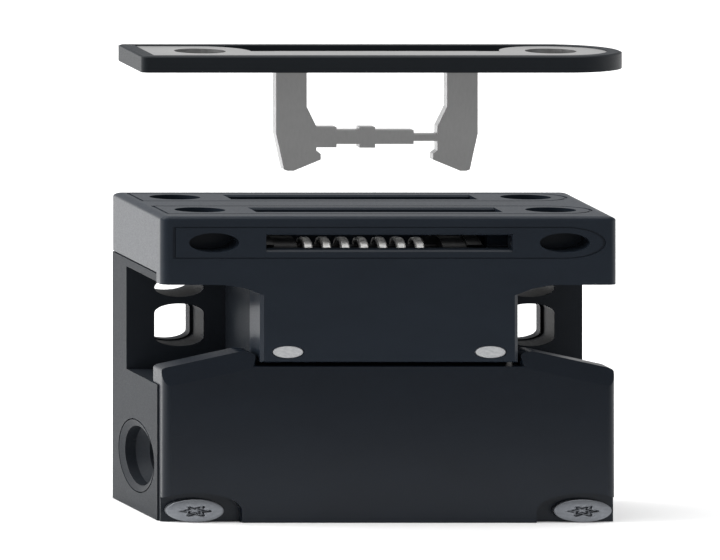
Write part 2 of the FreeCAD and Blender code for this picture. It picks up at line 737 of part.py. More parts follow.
def rotor_spring():
    length = 2 * WHEEL_IN - 2 * RUN_GAP
    coil = spring_z(ROTOR_SPRING_OD, ROTOR_SPRING_WIRE, ROTOR_SPRING_TURNS,
                    -length / 2, length / 2, 0, 0)
    coil.rotate(Vector(0, 0, 0), Y_AXIS, 90)
    coil.translate(Vector(0, ROTOR_Y, ROTOR_Z))
    return coil


# ---- plunger and contacts ----
def plunger_yoke():
    x0 = WHEEL_OUT + (CAM_T - ARM_T) / 2
    tip_r = ARM_D / 2
    arm = block(x0, x0 + ARM_T, ROTOR_Y - tip_r, ROTOR_Y + tip_r, YOKE_Z, ARM_TOP_Z - tip_r)
    arm = arm.fuse(rod_x(tip_r, x0, x0 + ARM_T, ROTOR_Y, ARM_TOP_Z - tip_r))
    bar = block(-x0 - ARM_T, x0 + ARM_T, ROTOR_Y - YOKE_D / 2, ROTOR_Y + YOKE_D / 2,
                YOKE_Z, YOKE_TOP_Z)
    socket = flats_z(STEM_SLIM_R, YOKE_Z - PAST, YOKE_TOP_Z + PAST, 0, ROTOR_Y)
    return bar.fuse(both(arm)).cut(socket).removeSplitter()


def plunger_stem():
    shoulder_z = NC_BRIDGE_Z + BRIDGE_T
    thick = flats_z(STEM_R, shoulder_z, YOKE_Z, 0, ROTOR_Y)
    slim = flats_z(STEM_SLIM_R, STEM_END_Z, YOKE_TOP_Z, 0, ROTOR_Y)
    return thick.fuse(slim).removeSplitter()


def stem_seal():
    ring = flats_z(SEAL_R, SHELF_Z - WALL, SHELF_Z, 0, ROTOR_Y)
    return ring.cut(flats_z(STEM_R + RUN_GAP, 0, BODY_H, 0, ROTOR_Y))


def bridge(z0, rivet_side):
    """A contact strip across the stem with a rivet at each end, above or below it."""
    strip = block(-BRIDGE_HALF, BRIDGE_HALF, ROTOR_Y - BRIDGE_D / 2, ROTOR_Y + BRIDGE_D / 2,
                  z0, z0 + BRIDGE_T)
    rivet_z = z0 + BRIDGE_T if rivet_side > 0 else z0 - RIVET_H
    rivet = flats_z(RIVET_R, rivet_z, rivet_z + RIVET_H, RIVET_X, ROTOR_Y)
    strip = strip.fuse(both(rivet))
    return strip.cut(flats_z(STEM_SLIM_R, 0, BODY_H, 0, ROTOR_Y)).removeSplitter()


def break_bridge():
    return bridge(NC_BRIDGE_Z, 1)


def make_bridge():
    return bridge(NO_BRIDGE_Z, -1)


def contact_spring():
    return spring_z(CONTACT_SPRING_OD, CONTACT_SPRING_WIRE, CONTACT_SPRING_TURNS,
                    NO_BRIDGE_Z + BRIDGE_T + RUN_GAP, NC_BRIDGE_Z - RUN_GAP, 0, ROTOR_Y)


def stem_clip():
    ring = flats_z(CLIP_R, CLIP_Z, NO_BRIDGE_Z, 0, ROTOR_Y)
    return ring.cut(flats_z(STEM_SLIM_R, 0, BODY_H, 0, ROTOR_Y))


def return_spring():
    return spring_z(RETURN_SPRING_OD, RETURN_SPRING_WIRE, RETURN_SPRING_TURNS,
                    SEAT_Z, CLIP_Z - RUN_GAP, 0, ROTOR_Y)


def terminal_z(level):
    """The height of a terminal's screw above its blade."""
    return level - BLADE_T / 2 + TAB_H / 2 + TERMINAL_RISE


def terminal(level, rivet_side):
    """One right-hand fixed contact: blade, front tab with its screw hole, and rivet."""
    z0 = level - BLADE_T / 2
    back = ROTOR_Y + BLADE_D / 2
    blade = block(BLADE_IN, TERMINAL_X + TAB_W / 2, ROTOR_Y - BLADE_D / 2, back, z0, z0 + BLADE_T)
    foot = block(TERMINAL_X - TAB_W / 2, TERMINAL_X + TAB_W / 2, BLOCK_FRONT - BLADE_T,
                 ROTOR_Y, z0, z0 + BLADE_T)
    tab = block(TERMINAL_X - TAB_W / 2, TERMINAL_X + TAB_W / 2, BLOCK_FRONT - BLADE_T,
                BLOCK_FRONT, z0, z0 + TAB_H)
    rivet_z = z0 + BLADE_T if rivet_side > 0 else z0 - RIVET_H
    rivet = flats_z(RIVET_R, rivet_z, rivet_z + RIVET_H, RIVET_X, ROTOR_Y)
    hole = flats_y(TERMINAL_SCREW_R, FRONT_Y, REAR_Y, TERMINAL_X, terminal_z(level))
    return blade.multiFuse([foot, tab, rivet]).cut(hole).removeSplitter()


def contact_block():
    half = BLOCK_W / 2
    top_z = BLOCK_Z + BLOCK_H
    body = block(-half, half, BLOCK_FRONT, CHAMBER_Y, BLOCK_Z, top_z)
    window = block(-BLOCK_WINDOW_X, BLOCK_WINDOW_X, BLOCK_FRONT - PAST, CHAMBER_Y - BLOCK_BACK,
                   BLOCK_Z + BLOCK_BAR, top_z - BLOCK_BAR)
    body = body.cut(window)
    cuts = [
        flats_z(STEM_R + RUN_GAP, top_z - BLOCK_BAR - PAST, top_z + PAST, 0, ROTOR_Y),
        flats_z(RETURN_SPRING_OD / 2 + SLIDE_GAP, SEAT_Z, top_z - BLOCK_BAR - PAST, 0, ROTOR_Y),
    ]
    for level in (NC_Z, NO_Z):
        z0 = level - BLADE_T / 2
        cuts.append(block(-half, half, BLOCK_FRONT - PAST, ROTOR_Y + BLADE_D / 2,
                          z0, z0 + BLADE_T))
        cuts.append(both(flats_y(TERMINAL_SCREW_R, FRONT_Y, BLOCK_FRONT + TERMINAL_SCREW_L,
                               TERMINAL_X, terminal_z(level))))
    return body.cut(cuts).removeSplitter()


def terminals():
    return Part.makeCompound([pair(terminal(NC_Z, -1)), pair(terminal(NO_Z, 1))])


def clamp_plates():
    plates = []
    y1 = BLOCK_FRONT - BLADE_T - CLAMP_GAP
    for level in (NC_Z, NO_Z):
        z = terminal_z(level)
        plate = block(TERMINAL_X - TAB_W / 2, TERMINAL_X + TAB_W / 2, y1 - CLAMP_T, y1,
                      z - TAB_W / 2, z + TAB_W / 2)
        plates.append(pair(plate.cut(flats_y(TERMINAL_SCREW_R, FRONT_Y, REAR_Y, TERMINAL_X, z))))
    return Part.makeCompound(plates)


def terminal_screws():
    screws = []
    seat_y = BLOCK_FRONT - BLADE_T - CLAMP_GAP - CLAMP_T
    slot_half = TERMINAL_SLOT_W / 2
    end_y = BLOCK_FRONT + TERMINAL_SCREW_L - TERMINAL_SCREW_END
    head_y = seat_y - TERMINAL_HEAD_H
    for level in (NC_Z, NO_Z):
        z = terminal_z(level)
        head = flats_y(TERMINAL_HEAD_R, head_y, seat_y, TERMINAL_X, z)
        shank = flats_y(TERMINAL_SCREW_R, seat_y - TERMINAL_HEAD_H / 2, end_y, TERMINAL_X, z)
        slot = block(TERMINAL_X - TERMINAL_HEAD_R, TERMINAL_X + TERMINAL_HEAD_R, head_y - PAST,
                     head_y + TERMINAL_SLOT_D, z - slot_half, z + slot_half)
        screws.append(pair(head.fuse(shank).cut(slot)))
    return Part.makeCompound(screws)


# ---- key ----
def plate_body(x0, inset, z0, z1):
    """The key plate's plan, inset all round: square at the left end and round at the right."""
    half = PLATE_D / 2 - inset
    y = FRONT_KEYWAY_Y
    bar = block(x0 + inset, ROUND_X, y - half, y + half, z0, z1)
    return bar.fuse(rod_z(half, z0, z1, ROUND_X, y))


def sheet_plan():
    """The steel sheet seen from above: a pad at each end and a strip along the front."""
    half = PLATE_D / 2 - PLATE_RIM
    z0 = KEY_TOP_Z - SHEET_SINK - SHEET_T
    z1 = KEY_TOP_Z - SHEET_SINK
    y = FRONT_KEYWAY_Y
    whole = plate_body(-PLATE_END_X, PLATE_RIM, z0, z1)
    behind = block(-HOLE_X, HOLE_X, y - half + STRIP_D, y + half + PAST, z0, z1)
    pads = [rod_z(half, z0, z1, side * HOLE_X, y) for side in (-1, 1)]
    for pad in pads:
        behind = behind.cut(pad)
    return whole.cut(behind)


def tongue_outline():
    """The blade below the plate, as (x, depth): two legs, coded crossbar and hooked feet."""
    high = BAR_TOP_Z
    low = BAR_TOP_Z - TOP_STEP
    low_right = BAR_TOP_Z + TOP_STEP_RIGHT
    under = BAR_BOTTOM_Z
    hook_x = LEG_FOOT_IN - HOOK_REACH
    left_inside = [
        (-LEG_IN, 0), (-LEG_IN, LEG_NECK_Z), (-LEG_FOOT_IN, LEG_FOOT_Z), (-LEG_FOOT_IN, low),
        (CODE_1_X, low), (CODE_1_X, high), (CODE_2_X, high), (CODE_2_X, low),
        (CODE_3_X, low), (CODE_3_X, high), (CODE_4_X, high), (CODE_4_X, low_right),
    ]
    right_inside = [
        (LEG_FOOT_IN, low_right), (LEG_FOOT_IN, LEG_FOOT_Z), (LEG_IN, LEG_NECK_Z), (LEG_IN, 0),
    ]
    right_foot = [
        (TONGUE_HALF, 0), (TONGUE_HALF, TAPER_Z), (TONGUE_FOOT_HALF, TONGUE_L - FOOT_CHAMFER),
        (TONGUE_FOOT_HALF - FOOT_CHAMFER, TONGUE_L), (HOOK_FOOT_X, TONGUE_L),
        (hook_x, HOOK_END_Z), (hook_x, HOOK_Z), (LEG_FOOT_IN, HOOK_NOTCH_Z),
    ]
    bar_bottom = [
        (LEG_FOOT_IN, under - UNDER_STEP_RIGHT), (CODE_4_X, under - UNDER_STEP_RIGHT),
        (CODE_4_X, under), (CODE_3_X, under), (CODE_3_X, under + UNDER_STEP_MIDDLE),
        (CODE_2_X, under + UNDER_STEP_MIDDLE), (CODE_2_X, under), (CODE_1_X, under),
        (CODE_1_X, under + UNDER_STEP_LEFT), (-LEG_FOOT_IN, under + UNDER_STEP_LEFT),
    ]
    left_foot = [(-x, depth) for x, depth in reversed(right_foot)]
    return left_inside + right_inside + right_foot + bar_bottom + left_foot


def actuator_key():
    """The steel key: a flat sheet with its tongue bent down from the back of the strip."""
    top = KEY_TOP_Z - SHEET_SINK
    y0 = FRONT_KEYWAY_Y - SHEET_T / 2
    blade = prism_y([(x, KEY_Z - depth) for x, depth in tongue_outline()], y0, y0 + SHEET_T)
    root = both(block(LEG_IN, TONGUE_HALF, y0, y0 + SHEET_T, KEY_Z - PAST, top - SHEET_T / 2))
    bend = block(-TONGUE_HALF, TONGUE_HALF, y0 - BEND_LAP, y0 + SHEET_T, top - SHEET_T, top)
    bend = bend.makeFillet(BEND_R, edges_where(
        bend, lambda p: near(p.z, top) and near(p.y, y0 + SHEET_T)))
    holes = [rod_z(PLATE_HOLE_R, KEY_Z, KEY_TOP_Z + PAST, side * HOLE_X, FRONT_KEYWAY_Y)
             for side in (-1, 1)]
    return sheet_plan().multiFuse([blade, root, bend]).cut(holes).removeSplitter()


def actuator_frame():
    """The moulded frame that the steel key lies in."""
    frame = plate_body(-PLATE_END_X, 0, KEY_Z, KEY_TOP_Z)
    frame = round_upright(frame.removeSplitter(), EDGE_R, lambda p: near(p.x, -PLATE_END_X))
    rims = edges_where(frame, lambda p: near(p.z, KEY_TOP_Z))
    frame = frame.makeChamfer(FRAME_CHAMFER, rims)
    floor_z = KEY_TOP_Z - SHEET_SINK - SHEET_T
    tray = plate_body(-PLATE_END_X, PLATE_RIM - RUN_GAP, floor_z, KEY_TOP_Z + PAST)
    half = PLATE_D / 2 - PLATE_RIM
    trench_half = HOLE_X - half - TRENCH_END
    trench = block(-trench_half, trench_half, FRONT_KEYWAY_Y + SHEET_T / 2 + TRENCH_GAP,
                   FRONT_KEYWAY_Y + half, floor_z - TRENCH_D, floor_z + PAST)
    y0 = FRONT_KEYWAY_Y - SHEET_T / 2
    slot = block(-TONGUE_HALF - RUN_GAP, TONGUE_HALF + RUN_GAP, y0 - RUN_GAP,
                 y0 + SHEET_T + RUN_GAP, KEY_Z - PAST, KEY_TOP_Z)
    slot = slot.cut(block(-LEG_IN + RUN_GAP, LEG_IN - RUN_GAP, FRONT_Y, REAR_Y, 0, floor_z))
    holes = [rod_z(PLATE_HOLE_R, KEY_Z - PAST, KEY_TOP_Z, side * HOLE_X, FRONT_KEYWAY_Y)
             for side in (-1, 1)]
    return frame.cut([tray, trench, slot] + holes).removeSplitter()


NODES = {
    "housing": housing,
    "cover_gasket": gasket,
    "front_cover": front_cover,
    "cover_screws": cover_screws,
    "head_cap": head_cap,
    "head_pins": head_pins,
    "stem_seal": stem_seal,
    "contact_block": contact_block,
    "terminals": terminals,
    "clamp_plates": clamp_plates,
    "terminal_screws": terminal_screws,
    "rotor_shaft": rotor_shaft,
    "cam_wheel_right": cam_wheel,
    "cam_wheel_left": lambda: cam_wheel().mirror(Vector(0, 0, 0), X_AXIS),
    "rotor_spring": rotor_spring,
    "plunger_yoke": plunger_yoke,
    "plunger_stem": plunger_stem,
    "break_bridge": break_bridge,
    "make_bridge": make_bridge,
    "contact_spring": contact_spring,
    "stem_clip": stem_clip,
    "return_spring": return_spring,
    "actuator_frame": actuator_frame,
    "actuator_key": actuator_key,
}

if __name__ == "__main__":
    os.makedirs("parts", exist_ok=True)
    for name, make in NODES.items():
        shape = make()
        print(name, len(shape.Solids), round(shape.Volume, 2), shape.isValid())
        shape.exportStep(os.path.join("parts", name + ".step"))
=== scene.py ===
"""The look of a tongue interlock switch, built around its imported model. Metres, +Z up."""
import bpy
import math
from mathutils import Matrix, Vector

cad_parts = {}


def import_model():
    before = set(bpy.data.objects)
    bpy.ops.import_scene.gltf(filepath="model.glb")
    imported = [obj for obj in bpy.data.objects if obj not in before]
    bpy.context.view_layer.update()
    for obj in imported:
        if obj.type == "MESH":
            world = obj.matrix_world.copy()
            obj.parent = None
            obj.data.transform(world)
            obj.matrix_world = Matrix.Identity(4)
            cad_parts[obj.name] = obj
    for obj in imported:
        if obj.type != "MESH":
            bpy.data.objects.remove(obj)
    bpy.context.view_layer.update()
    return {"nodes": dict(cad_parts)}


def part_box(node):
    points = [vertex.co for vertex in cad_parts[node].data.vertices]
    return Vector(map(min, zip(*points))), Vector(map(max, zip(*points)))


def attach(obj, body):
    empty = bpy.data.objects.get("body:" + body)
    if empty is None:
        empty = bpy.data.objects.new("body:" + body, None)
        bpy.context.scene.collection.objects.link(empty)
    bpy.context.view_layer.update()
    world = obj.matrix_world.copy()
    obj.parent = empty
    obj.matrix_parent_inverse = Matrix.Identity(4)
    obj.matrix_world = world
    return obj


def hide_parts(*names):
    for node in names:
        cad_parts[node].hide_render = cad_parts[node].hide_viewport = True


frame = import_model()
MM = 0.001

# ---- the view: heights true, widths stretched, the left side and the top slanting back ----
STRETCH = 2.582       # how much longer a width is drawn than a height
SIDE_SLANT = -0.492   # how far a point moves across for each unit of depth
TOP_SLANT = 0.2502    # how far it rises for each unit of depth
VIEW_W = 212.0 * MM
AIM = Vector((-3.36, -15.0, 71.45)) * MM
CAMERA_AWAY = 1.2
CAMERA_CLIP = 10.0

# ---- the studio ----
WORLD_FRONT = 0.40    # the room's light on the front of the switch
WORLD_BACK = 0.72     # and from behind it
WORLD_TURN = 0.6      # how far a direction leans to front or back, its Y, where each is reached
FLOOR_SIZE = 4.0
FLOOR_PLACE = (0, 1.91, -0.1 * MM)   # just under the base, so that the two never share a plane
LAMP_AIM = (0, 0, 0.07)
LAMPS = [
    # name, place, size, watts
    ("left_softbox", (-0.95, 0.15, 0.75), (1.0, 1.0), 11),
    ("top_softbox", (0.0, 0.0, 1.1), (1.5, 1.5), 15),
]

# ---- the switch, as the model has it ----
BODY_FRONT_Y = -15.0 * MM
ROTOR_Y = 1.0 * MM
ROTOR_Z = 75.0 * MM
ENTRY_Z = 16.0 * MM

# ---- the rotor's spring, wound from rounded square wire ----
SPRING_R = 5.0 * MM
SPRING_TURNS = 7.25
WIRE_ALONG = 1.05 * MM
WIRE_OUT = 0.9 * MM
WIRE_CORNER = 0.14 * MM
WIRE_SMOOTH = math.radians(30)
STEPS_PER_TURN = 28

# ---- the thread in the open cable entry ----
THREAD_R = 7.25 * MM
THREAD_PITCH = 1.5 * MM
THREAD_DEPTH = 0.45 * MM
THREAD_BITE = 0.05 * MM   # how far its foot goes into the wall
THREAD_TURNS = 4
THREAD_INSET = 3.0 * MM   # from the housing's left side to its first ridge
# one ridge: how far out from THREAD_R, and how far along as a share of the pitch
THREAD_RIDGE = [(THREAD_BITE, 0.06), (-THREAD_DEPTH, 0.4), (-THREAD_DEPTH, 0.6),
                (THREAD_BITE, 0.94)]

# ---- cover screws ----
SCREW_X = 22.1 * MM
SCREW_Z = 3.4 * MM
SCREW_HEAD_R = 3.3 * MM
SCREW_HEAD_H = 1.6 * MM
SCREW_HEAD_SIDES = 96
DOME_H = 0.35 * MM
DOME_RINGS = 5
DOME_ARC = 60         # degrees from the rim of the dome to its flat middle
SHANK_R = 1.5 * MM
SHANK_END_Y = -4.9 * MM
SHANK_SIDES = 32
RECESS_R = 1.6 * MM
RECESS_LOBES = 6
LOBE_REACH = 0.42 * MM
RECESS_DEPTH = 0.95 * MM
RECESS_POINTS = 72
# the recess from its floor's rim to its raised centre: share of the width, share of the depth
RECESS_STEPS = [(0.86, 1.0), (0.60, 1.0), (0.50, 0.78), (0.34, 0.62), (0.14, 0.55)]
SCREW_EDGE = 0.07 * MM         # the rounding of its sharp edges
SCREW_EDGE_ANGLE = math.radians(35)
SCREW_SMOOTH = math.radians(40)
SCREW_SLIVER = 0.004 * MM      # edges shorter than this are dissolved
TOWARDS_FRONT = -0.9  # a face whose normal has less y than this looks to the front

# ---- finishes: the sizes of their patterns, how deep those are, and how far roughness varies ----
MOULD_CLOUD_MM = 9.0
MOULD_GRAIN_MM = 0.35      # the mould's own grain is finer: drawn this coarse so that it shows
MOULD_GRAIN_DEPTH = 0.05 * MM
MOULD_GRAIN_STRENGTH = 0.12
MOULD_SWING = 0.05
MOULD_IOR = 1.5
SHEET_CLOUD_MM = 4.0
SHEET_STREAK_MM = 0.3      # rolling marks are finer: drawn this coarse so that they show
SHEET_STREAK_SHAPE = (1, 1, 0.15)
SHEET_STREAK_DEPTH = 0.03 * MM
SHEET_STREAK_STRENGTH = 0.10
SHEET_SWING = 0.06
METAL_SMOOTHER = 0.05
METAL_ROUGHER = 0.08
RUBBER_BLOOM_MM = 1.5
RUBBER_BLOOM = "#2A2A2A"
RUBBER_ROUGHNESS = 0.75
CARD_ROUGHNESS = 0.9
FINE_DETAIL = 4.0
NOISE_MIDDLE = {"in_From_Min": 0.3, "in_From_Max": 0.7}   # where most of a noise's values lie


# ---- colours and nodes ----
def srgb(text):
    """A #RRGGBB colour as the linear values that the shaders take."""
    values = [int(text[i:i + 2], 16) / 255 for i in (1, 3, 5)]
    linear = [v / 12.92 if v <= 0.04045 else ((v + 0.055) / 1.055) ** 2.4 for v in values]
    return (*linear, 1.0)


def node(tree, kind, links=None, **settings):
    """Adds a node, sets what the settings name in their order, and links its inputs."""
    made = tree.nodes.new(kind)
    for name, value in settings.items():
        if name.startswith("in_"):
            made.inputs[name[3:].replace("_", " ")].default_value = value
        else:
            setattr(made, name, value)
    for name, source in (links or {}).items():
        tree.links.new(source, made.inputs[name])
    return made


def new_material(name, build):
    """A material whose surface is the shader that build adds to its node tree."""
    material = bpy.data.materials.new(name)
    material.use_nodes = True
    tree = material.node_tree
    tree.nodes.clear()
    shader = build(tree)
    node(tree, "ShaderNodeOutputMaterial", {"Surface": shader.outputs["BSDF"]})
    return material


def grain(tree, across_mm, detail=3.0, stretch=(1, 1, 1)):
    """A cloudy pattern about across_mm wide, read from the piece's own coordinates."""
    place = node(tree, "ShaderNodeTexCoord")
    turned = node(tree, "ShaderNodeMapping", {"Vector": place.outputs["Object"]},
                  in_Scale=stretch)
    cloud = node(tree, "ShaderNodeTexNoise", {"Vector": turned.outputs["Vector"]},
                 in_Scale=1 / (across_mm * MM), in_Detail=detail)
    return cloud.outputs["Fac"]


def moulded_plastic(name, light, dark, roughness, shine=0.25):
    """Plastic from a spark-eroded mould: one even colour under a fine matt grain."""
    def build(tree):
        tint = node(tree, "ShaderNodeMix", {"Factor": grain(tree, MOULD_CLOUD_MM)},
                    data_type="RGBA", in_A=srgb(dark), in_B=srgb(light))
        fine = grain(tree, MOULD_GRAIN_MM, FINE_DETAIL)
        rough = node(tree, "ShaderNodeMapRange", {"Value": fine}, **NOISE_MIDDLE,
                     in_To_Min=roughness - MOULD_SWING, in_To_Max=roughness + MOULD_SWING)
        bump = node(tree, "ShaderNodeBump", {"Height": fine},
                    in_Strength=MOULD_GRAIN_STRENGTH, in_Distance=MOULD_GRAIN_DEPTH)
        return node(tree, "ShaderNodeBsdfPrincipled",
                    {"Base Color": tint.outputs["Result"], "Roughness": rough.outputs["Result"],
                     "Normal": bump.outputs["Normal"]},
                    in_IOR=MOULD_IOR, in_Specular_IOR_Level=shine)
    return new_material(name, build)


def sheet_steel(name, light, dark, roughness):
    """Cold-rolled sheet, tumbled after blanking: matt grey with faint rolling marks."""
    def build(tree):
        marks = grain(tree, SHEET_STREAK_MM, FINE_DETAIL, SHEET_STREAK_SHAPE)
        both = node(tree, "ShaderNodeMath", {0: marks, 1: grain(tree, SHEET_CLOUD_MM)},
                    operation="MULTIPLY")
        tint = node(tree, "ShaderNodeMix", {"Factor": both.outputs["Value"]},
                    data_type="RGBA", in_A=srgb(light), in_B=srgb(dark))
        rough = node(tree, "ShaderNodeMapRange", {"Value": marks}, **NOISE_MIDDLE,
                     in_To_Min=roughness - SHEET_SWING, in_To_Max=roughness + SHEET_SWING)
        bump = node(tree, "ShaderNodeBump", {"Height": marks},
                    in_Strength=SHEET_STREAK_STRENGTH, in_Distance=SHEET_STREAK_DEPTH)
        return node(tree, "ShaderNodeBsdfPrincipled",
                    {"Base Color": tint.outputs["Result"], "Roughness": rough.outputs["Result"],
                     "Normal": bump.outputs["Normal"]}, in_Metallic=1.0)
    return new_material(name, build)


def plain_metal(name, light, dark, cloud_mm, roughness):
    """Turned, plated, drawn or stamped metal, with cloudy marks about cloud_mm wide."""
    def build(tree):
        cloud = grain(tree, cloud_mm, FINE_DETAIL)
        tint = node(tree, "ShaderNodeMix", {"Factor": cloud},
                    data_type="RGBA", in_A=srgb(light), in_B=srgb(dark))
        rough = node(tree, "ShaderNodeMapRange", {"Value": cloud}, **NOISE_MIDDLE,
                     in_To_Min=roughness - METAL_SMOOTHER, in_To_Max=roughness + METAL_ROUGHER)
        return node(tree, "ShaderNodeBsdfPrincipled",
                    {"Base Color": tint.outputs["Result"], "Roughness": rough.outputs["Result"]},
                    in_Metallic=1.0)
    return new_material(name, build)


def soft_rubber(name, colour):
    """Moulded seal rubber: dull, with a slight bloom."""
    def build(tree):
        tint = node(tree, "ShaderNodeMix", {"Factor": grain(tree, RUBBER_BLOOM_MM)},
                    data_type="RGBA", in_A=srgb(colour), in_B=srgb(RUBBER_BLOOM))
        return node(tree, "ShaderNodeBsdfPrincipled", {"Base Color": tint.outputs["Result"]},
                    in_Roughness=RUBBER_ROUGHNESS)
    return new_material(name, build)


# glass-filled nylon, the dullest of the mouldings: a soft blue-black that takes no highlight
BODY = moulded_plastic("moulded_nylon_body", "#1C2127", "#161A20", roughness=0.58, shine=0.16)
# the same nylon from a smoother mould: a little lighter, with a broad sheen on the top
HEAD = moulded_plastic("moulded_nylon_head", "#232A33", "#1D232B", roughness=0.33, shine=0.18)
# the same again, the darkest and bluest of the three, with an even sheen
COVER = moulded_plastic("moulded_nylon_cover", "#141B24", "#0F151D", roughness=0.36, shine=0.22)
# nylon with less blue in it: a nearly neutral black, satin
KEY_FRAME = moulded_plastic("moulded_nylon_key_frame", "#1F2328", "#191D21",
                            roughness=0.44, shine=0.16)
# acetal, naturally waxy: a plain black with a soft gloss
WHEEL = moulded_plastic("moulded_acetal_wheels", "#17181A", "#101112", roughness=0.35)
# uncoloured acetal: milky white, waxy and a little glossier than nylon
PLUNGER = moulded_plastic("moulded_acetal_plunger", "#C9C6BC", "#BBB8AE",
                          roughness=0.40, shine=0.4)
# mineral-filled polyester: a dry, warm stone grey
BLOCK = moulded_plastic("moulded_polyester_block", "#8F897C", "#7F7A6F", roughness=0.5)
# nitrile: dull black, greyed by its bloom
SEAL = soft_rubber("nitrile_rubber", "#161616")
# stainless strip: pale grey, matt, with a soft wide highlight
SHEET = sheet_steel("tumbled_stainless_sheet", "#B2B2B2", "#A2A2A2", roughness=0.44)
# zinc plate on steel: a cool, dull grey, faintly cloudy
ZINC = plain_metal("zinc_plated_steel", "#84878C", "#73767B", cloud_mm=0.6, roughness=0.42)
# aluminium pins as turned: the palest metal here, mottled and nearly white on their ends
PIN = plain_metal("turned_aluminium", "#FAFBFC", "#B6B9BC", cloud_mm=0.6, roughness=0.45)
# spring wire as drawn: bright and even, with soft highlights on each turn
SPRING = plain_metal("drawn_spring_wire", "#F4F4F2", "#DEDEDC", cloud_mm=0.5, roughness=0.5)
# steel made near black as painted shade, so that it reads as the dark inside the keyway it sits
# in; yet it keeps a metal's highlight
SHAFT_PAINTED_SHADE = plain_metal("steel_dark_as_painted_shade", "#2E2E30", "#242426", cloud_mm=0.5, roughness=0.4)
# stamped brass strip: warm yellow with a soft shine
BRASS = plain_metal("stamped_brass", "#C8A45A", "#B8934C", cloud_mm=0.8, roughness=0.35)

# ---- the finishes of the model's own nodes ----
for names, material in [
        ("housing", BODY),
        ("head_cap", HEAD),
        ("front_cover", COVER),
        ("actuator_frame", KEY_FRAME),
        ("cam_wheel_left cam_wheel_right", WHEEL),
        ("plunger_yoke plunger_stem", PLUNGER),
        ("contact_block", BLOCK),
        ("cover_gasket stem_seal", SEAL),
        ("actuator_key", SHEET),
        ("terminal_screws clamp_plates", ZINC),
        ("head_pins", PIN),
        ("contact_spring return_spring stem_clip", SPRING),
        # the shaft's near-black finish is painted shade for the dark keyway
        ("rotor_shaft", SHAFT_PAINTED_SHADE),
        ("terminals break_bridge make_bridge", BRASS)]:
    for name in names.split():
        slots = frame["nodes"][name].data.materials
        slots.clear()
        slots.append(material)


# ---- working on a piece ----
def deselect_all():
    """Leaves the next primitive alone for the operators that follow it."""
    bpy.ops.object.select_all(action="DESELECT")


def select_only(piece):
    deselect_all()
    piece.select_set(True)
    bpy.context.view_layer.objects.active = piece


def select_faces(piece, test):
    """Selects the faces that pass the test, and nothing else of the piece."""
    mesh = piece.data
    for parts in (mesh.vertices, mesh.edges, mesh.polygons):
        parts.foreach_set("select", [False] * len(parts))
    bpy.context.tool_settings.mesh_select_mode = (False, False, True)
    for face in mesh.polygons:
        face.select = test(face)


def in_edit_mode(*steps):
    """Runs the steps on the active piece in edit mode."""
    bpy.ops.object.mode_set(mode="EDIT")
    for step in steps:
        step()
    bpy.ops.object.mode_set(mode="OBJECT")


def apply_modifier(piece, kind, **settings):
    select_only(piece)
    modifier = piece.modifiers.new(kind.lower(), kind)
    for name, value in settings.items():
        setattr(modifier, name, value)
    bpy.ops.object.modifier_apply(modifier=modifier.name)


def combine(piece, other, operation):
    """Joins the other shape to the piece, or cuts the piece with it, and throws the other away."""
    apply_modifier(piece, "BOOLEAN", operation=operation, object=other, solver="EXACT")
    bpy.data.objects.remove(other)


def settle(piece, name, material):
    """Names the piece, puts its place into its mesh and gives it its finish."""
    select_only(piece)
    bpy.ops.object.transform_apply(location=True, rotation=True, scale=True)
    piece.name = name
    piece.data.materials.clear()
    piece.data.materials.append(material)


def taper(along_y, shrink):
    """Draws the selected face out along Y and narrows it about its middle."""
    bpy.ops.mesh.extrude_region_move(TRANSFORM_OT_translate={"value": (0, along_y, 0)})
    bpy.ops.transform.resize(value=(shrink, 1, shrink))


# ---- cover screws ----
def rod(radius, y0, y1, x, z, sides):
    """A cylinder along Y."""
    deselect_all()
    bpy.ops.mesh.primitive_cylinder_add(
        vertices=sides, radius=radius, depth=y1 - y0, location=(x, (y0 + y1) / 2, z),
        rotation=(math.pi / 2, 0, 0))
    bpy.ops.object.transform_apply(location=True, rotation=True)
    return bpy.context.object


def recess_cutter(x, z):
    """The six-lobe driver recess, tapering to a floor with a raised centre."""
    deselect_all()
    bpy.ops.mesh.primitive_circle_add(vertices=RECESS_POINTS, radius=1, fill_type="NGON")
    cutter = bpy.context.object
    mouth_y = BODY_FRONT_Y - SCREW_HEAD_H
    for i, point in enumerate(cutter.data.vertices):
        angle = 2 * math.pi * i / RECESS_POINTS
        reach = RECESS_R + LOBE_REACH * math.cos(RECESS_LOBES * angle)
        point.co = (x + reach * math.cos(angle), mouth_y, z + reach * math.sin(angle))
    floor_y = BODY_FRONT_Y + RECESS_DEPTH

    def sink():
        bpy.ops.mesh.select_all(action="SELECT")
        share, y = 1.0, mouth_y
        for next_share, depth in RECESS_STEPS:
            next_y = floor_y - RECESS_DEPTH * (1 - depth)
            taper(next_y - y, next_share / share)
            share, y = next_share, next_y
        bpy.ops.mesh.select_all(action="SELECT")
        bpy.ops.mesh.normals_make_consistent(inside=False)

    in_edit_mode(sink)
    return cutter


